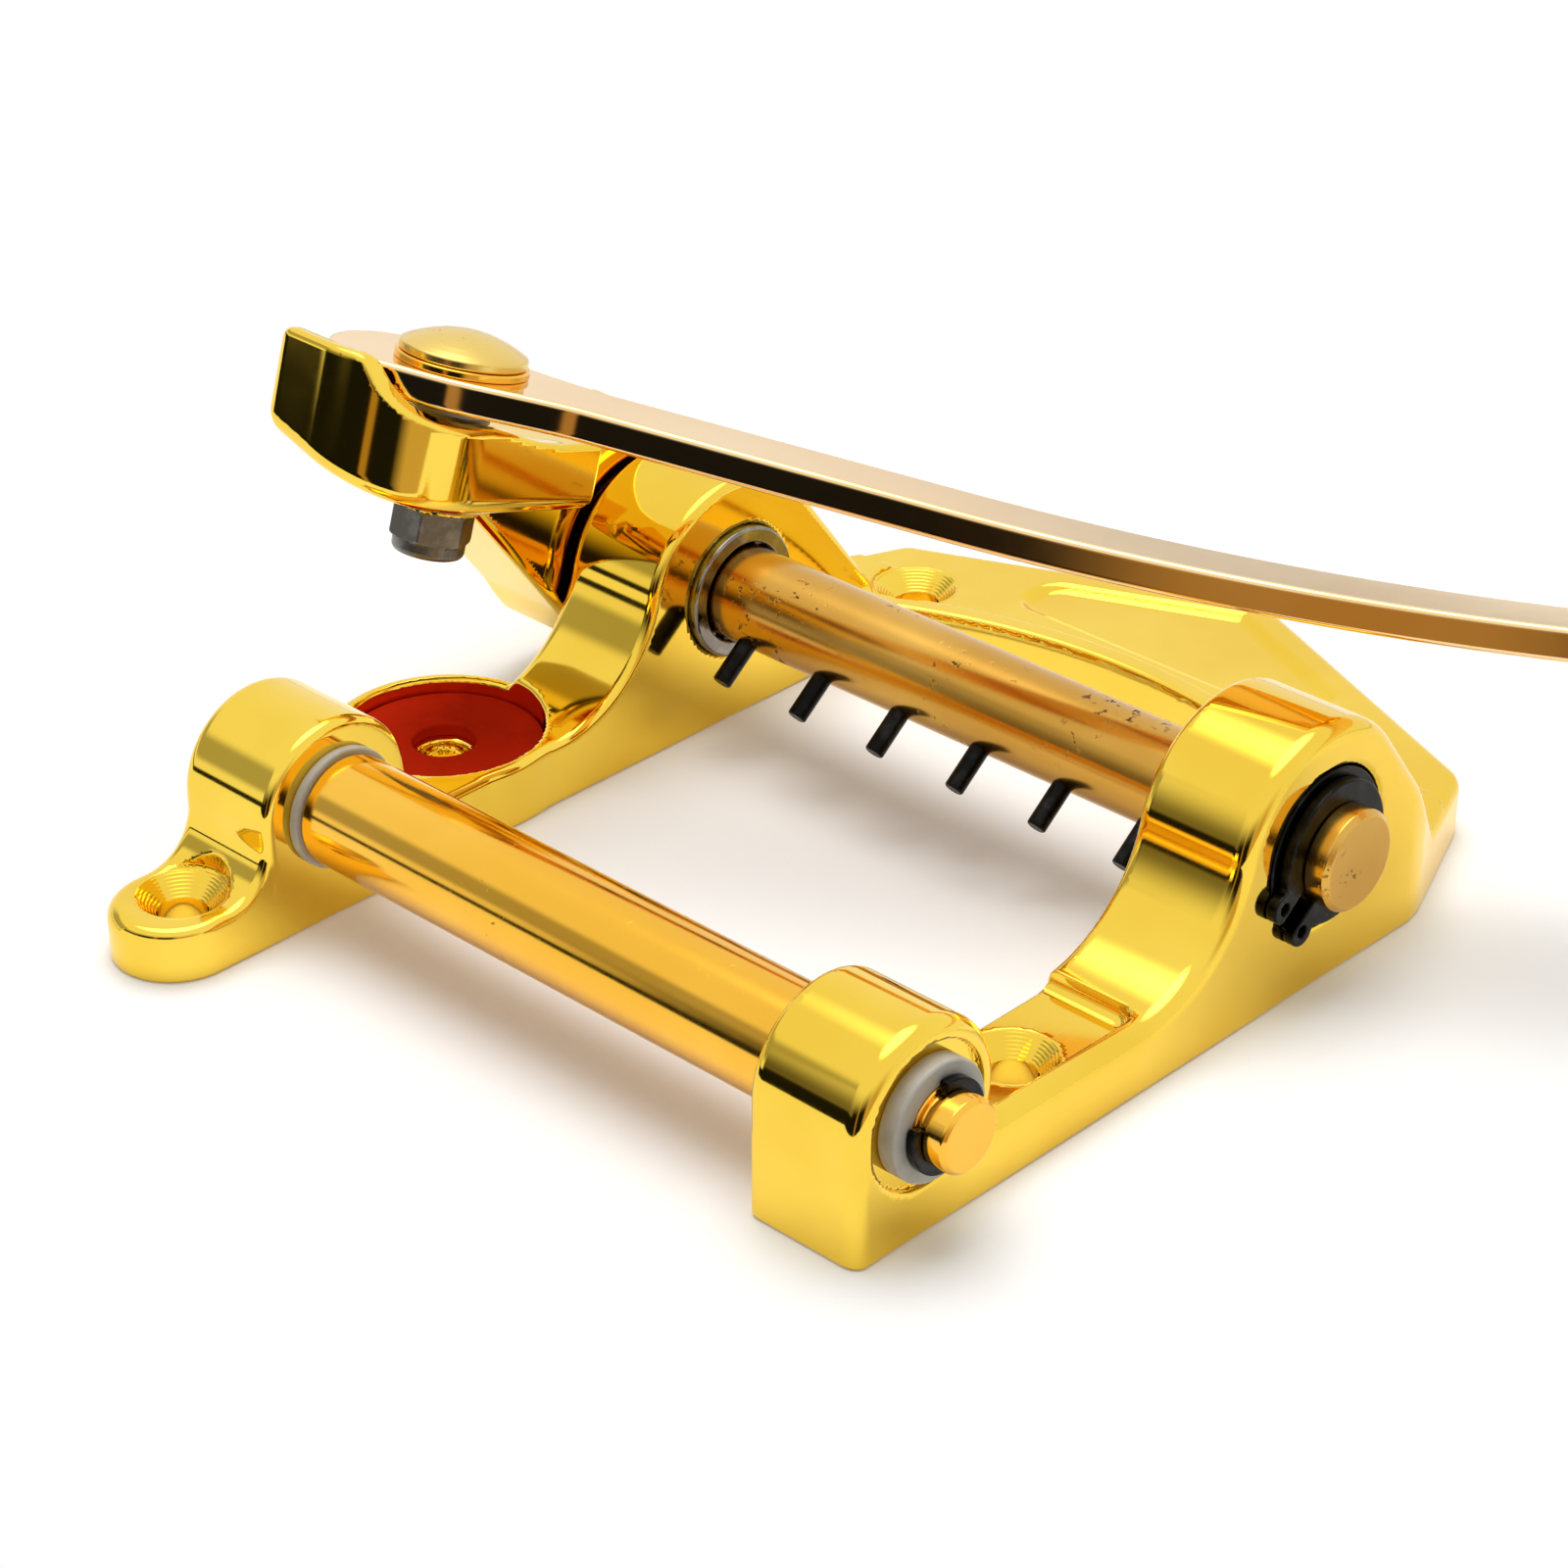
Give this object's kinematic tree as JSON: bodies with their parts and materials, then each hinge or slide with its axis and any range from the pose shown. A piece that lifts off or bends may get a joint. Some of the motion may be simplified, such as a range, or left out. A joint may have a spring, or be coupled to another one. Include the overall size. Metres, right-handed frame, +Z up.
{
  "type": "guitar tremolo bridge",
  "caption": "Gold-plated guitar tremolo bridge: a horseshoe casting with a rocking string shaft on needle bearings, a turning tension bar and a swivelling flat arm.",
  "frame": {"origin": "midway between the two rear screw holes, on the plane of the guitar's top", "axes": "+X along the string shaft away from the arm's bracket, -Y forwards to the tension bar where the strings leave, +Z up from the guitar's top"},
  "size_m": [0.1819, 0.1331, 0.0484],
  "materials": {
    "gold_casting": "polished gold plate on a casting",
    "gold_bar": "polished gold plate on drawn steel",
    "black_oxide": "black oxide on steel",
    "bearing_steel": "drawn steel",
    "washer_steel": "dull zinc",
    "white_nylon": "moulded nylon",
    "red_fibre": "matte vulcanised fibre"
  },
  "bodies": {
    "frame": {"main_frame": "gold_casting", "spring_seat_washer": "red_fibre", "left_bearing_shell": "bearing_steel", "right_bearing_shell": "bearing_steel", "left_inner_bush": "white_nylon", "left_outer_bush": "white_nylon", "right_inner_bush": "white_nylon", "right_outer_bush": "white_nylon", "shaft_shim": "black_oxide"},
    "rocker": {"string_shaft": "gold_bar", "string_pin_1": "black_oxide", "string_pin_2": "black_oxide", "string_pin_3": "black_oxide", "string_pin_4": "black_oxide", "string_pin_5": "black_oxide", "string_pin_6": "black_oxide", "shaft_snap_ring": "black_oxide", "shaft_thrust_washer": "washer_steel", "arm_bracket": "gold_casting", "bracket_set_screw": "black_oxide", "arm_bolt": "gold_bar", "arm_nut": "washer_steel", "arm_head_washer": "gold_bar", "arm_spring_washer": "washer_steel", "arm_flat_washer": "washer_steel"},
    "arm": {"tremolo_arm": "gold_bar", "arm_glide_washer": "white_nylon"},
    "bar": {"tension_bar": "gold_bar", "left_bar_clip": "black_oxide", "right_bar_clip": "black_oxide"},
    "left_cage": {"left_needle_cage": "bearing_steel", "left_needle_rollers": "bearing_steel"},
    "right_cage": {"right_needle_cage": "bearing_steel", "right_needle_rollers": "bearing_steel"}
  },
  "joints": [
    {"name": "shaft_rock", "type": "hinge", "parent": "frame", "child": "rocker", "pos_m": [0, -0.025, 0.0144], "axis": [1, 0, 0], "range_deg": [-6, 18]},
    {"name": "arm_swivel", "type": "hinge", "parent": "rocker", "child": "arm", "pos_m": [-0.0428, -0.05672, 0.02422], "axis": [0, 0.2957, 0.9553], "range_deg": [-36, 3]},
    {"name": "tension_bar_spin", "type": "hinge", "parent": "frame", "child": "bar", "pos_m": [0, -0.0788, 0.0117], "axis": [1, 0, 0], "continuous": true},
    {"name": "left_cage_orbit", "type": "hinge", "parent": "frame", "child": "left_cage", "pos_m": [-0.036, -0.025, 0.0144], "axis": [1, 0, 0], "range_deg": [-3, 8]},
    {"name": "right_cage_orbit", "type": "hinge", "parent": "frame", "child": "right_cage", "pos_m": [0.036, -0.025, 0.0144], "axis": [1, 0, 0], "range_deg": [-3, 8]}
  ],
  "couplings": [
    {"joint": "left_cage_orbit", "follows": "shaft_rock", "ratio": 0.43478},
    {"joint": "right_cage_orbit", "follows": "shaft_rock", "ratio": 0.43478}
  ]
}
